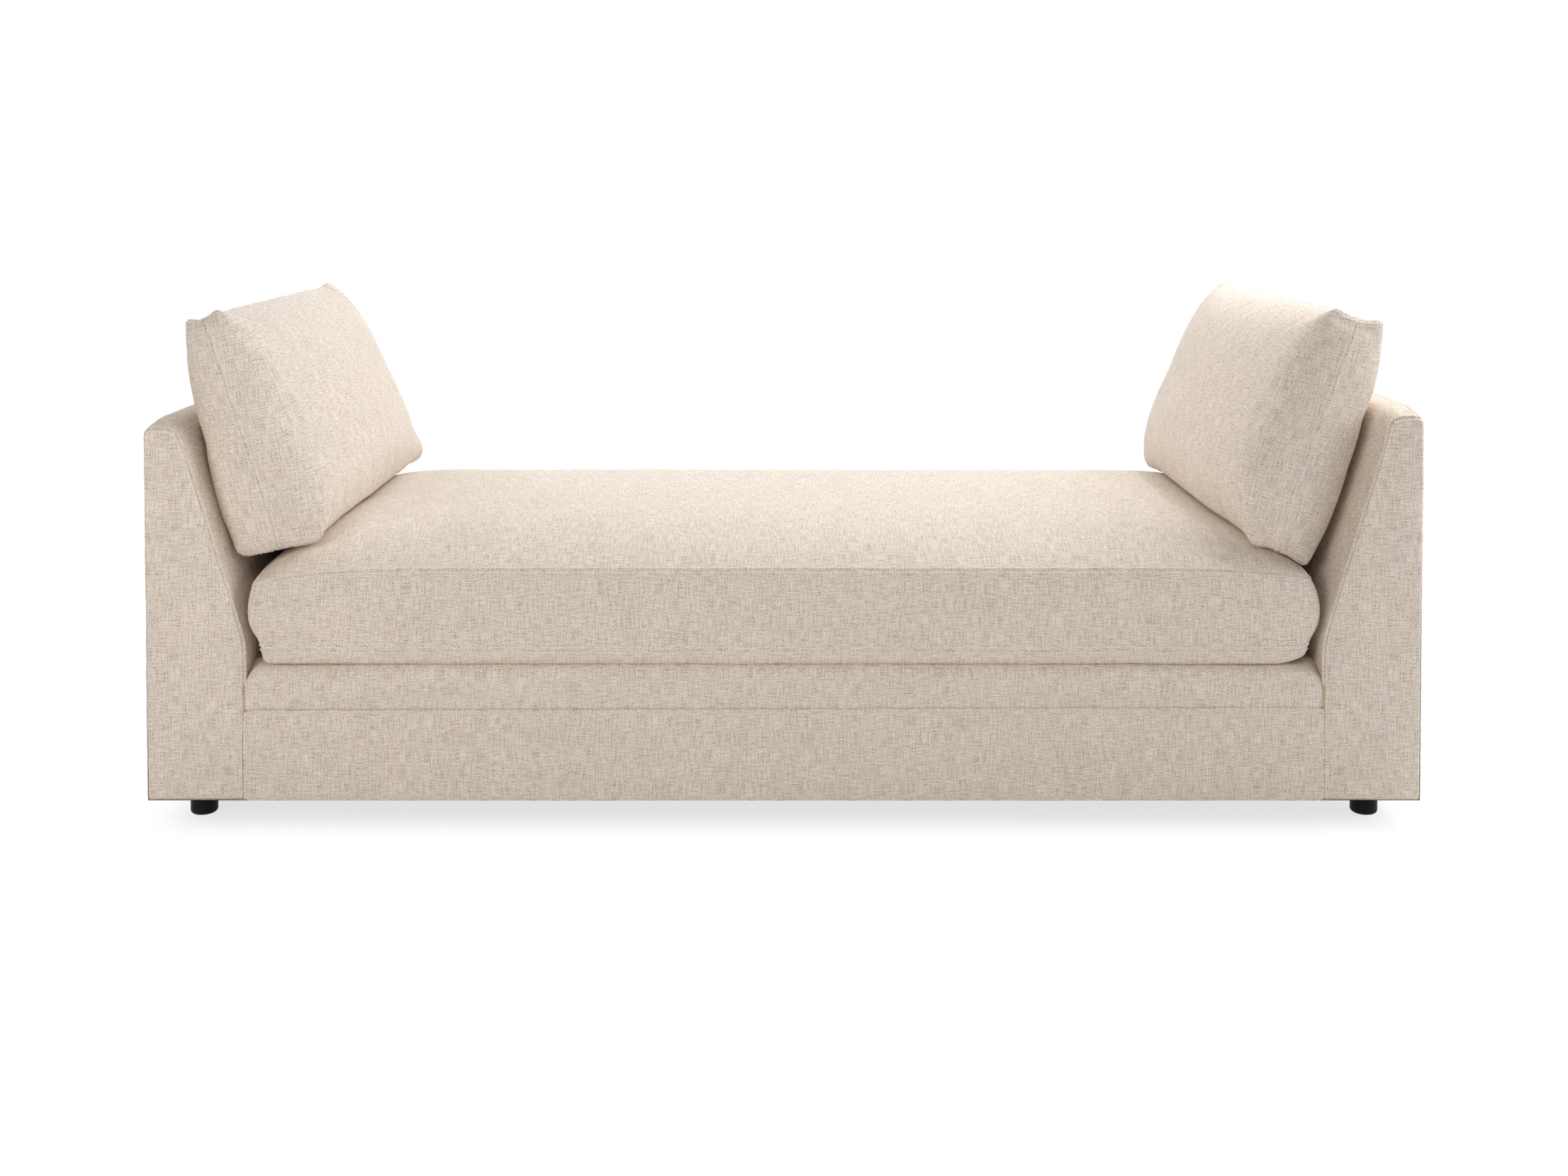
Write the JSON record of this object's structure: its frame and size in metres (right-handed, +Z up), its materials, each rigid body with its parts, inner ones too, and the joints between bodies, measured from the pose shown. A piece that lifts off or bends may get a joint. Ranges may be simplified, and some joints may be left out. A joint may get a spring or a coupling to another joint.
{
  "type": "backless divan",
  "caption": "Backless upholstered divan with a wedge-shaped arm at each end, a loose box seat cushion, and a loose pillow leaning on each arm.",
  "frame": {"origin": "on the floor, under the middle of the divan", "axes": "+X along the length towards the right arm, -Y towards the front, +Z up"},
  "size_m": [2.286, 0.94, 0.9391],
  "materials": {
    "upholstery": "matte",
    "timber": "matte",
    "plywood": "matte",
    "hardboard": "matte",
    "foam": "matte",
    "cushion_foam": "matte",
    "pillow_fill": "matte",
    "felt": "matte",
    "deck_cloth": "matte",
    "dust_cloth": "matte",
    "spring_steel": "satin",
    "zinc_steel": "satin",
    "foot_plastic": "matte",
    "zip_tape": "matte",
    "zip_metal": "satin"
  },
  "bodies": {
    "frame": {"front_rail": "timber", "back_rail": "timber", "left_end_rail": "timber", "right_end_rail": "timber", "cross_rails": "timber", "corner_blocks": "timber", "left_arm_front_panel": "plywood", "left_arm_back_panel": "plywood", "left_arm_top_rail": "timber", "left_arm_tack_rail": "timber", "left_arm_inner_board": "hardboard", "left_arm_outer_board": "hardboard", "left_arm_foam": "foam", "left_arm_cover": "upholstery", "left_arm_outer_cover": "upholstery", "left_arm_front_facing": "upholstery", "left_arm_back_facing": "upholstery", "front_left_foot": "foot_plastic", "back_left_foot": "foot_plastic", "right_arm_front_panel": "plywood", "right_arm_back_panel": "plywood", "right_arm_top_rail": "timber", "right_arm_tack_rail": "timber", "right_arm_inner_board": "hardboard", "right_arm_outer_board": "hardboard", "right_arm_foam": "foam", "right_arm_cover": "upholstery", "right_arm_outer_cover": "upholstery", "right_arm_front_facing": "upholstery", "right_arm_back_facing": "upholstery", "front_right_foot": "foot_plastic", "back_right_foot": "foot_plastic", "sinuous_springs": "spring_steel", "spring_tie_wires": "spring_steel", "spring_clips": "zinc_steel", "frame_screws": "zinc_steel", "foot_bolts": "zinc_steel", "foot_tee_nuts": "zinc_steel", "deck_insulator": "felt", "deck_foam": "foam", "front_rail_foam": "foam", "back_rail_foam": "foam", "deck_cover": "deck_cloth", "front_band_cover": "upholstery", "front_panel_cover": "upholstery", "back_band_cover": "upholstery", "back_panel_cover": "upholstery", "dust_cover": "dust_cloth"},
    "seat_cushion": {"seat_cushion_cover": "upholstery", "seat_cushion_core": "cushion_foam", "seat_cushion_zip": "zip_tape"},
    "left_pillow": {"left_pillow_cover": "upholstery", "left_pillow_insert": "pillow_fill", "left_pillow_zip": "zip_tape"},
    "right_pillow": {"right_pillow_cover": "upholstery", "right_pillow_insert": "pillow_fill", "right_pillow_zip": "zip_tape"},
    "seat_zip_slider": {"seat_cushion_zip_slider": "zip_metal"},
    "left_zip_slider": {"left_pillow_zip_slider": "zip_metal"},
    "right_zip_slider": {"right_pillow_zip_slider": "zip_metal"}
  },
  "joints": [
    {"name": "seat_cushion_lift", "type": "slide", "parent": "frame", "child": "seat_cushion", "axis": [0, 0, 1], "range_m": [0, 0.45]},
    {"name": "left_pillow_lift", "type": "slide", "parent": "seat_cushion", "child": "left_pillow", "axis": [0, 0, 1], "range_m": [0, 0.35]},
    {"name": "right_pillow_lift", "type": "slide", "parent": "seat_cushion", "child": "right_pillow", "axis": [0, 0, 1], "range_m": [0, 0.35]},
    {"name": "seat_zip_slide", "type": "slide", "parent": "seat_cushion", "child": "seat_zip_slider", "axis": [1, 0, 0], "range_m": [0, 1.388]},
    {"name": "left_pillow_zip_slide", "type": "slide", "parent": "left_pillow", "child": "left_zip_slider", "axis": [0, 1, 0], "range_m": [0, 0.588]},
    {"name": "right_pillow_zip_slide", "type": "slide", "parent": "right_pillow", "child": "right_zip_slider", "axis": [0, 1, 0], "range_m": [0, 0.588]}
  ]
}
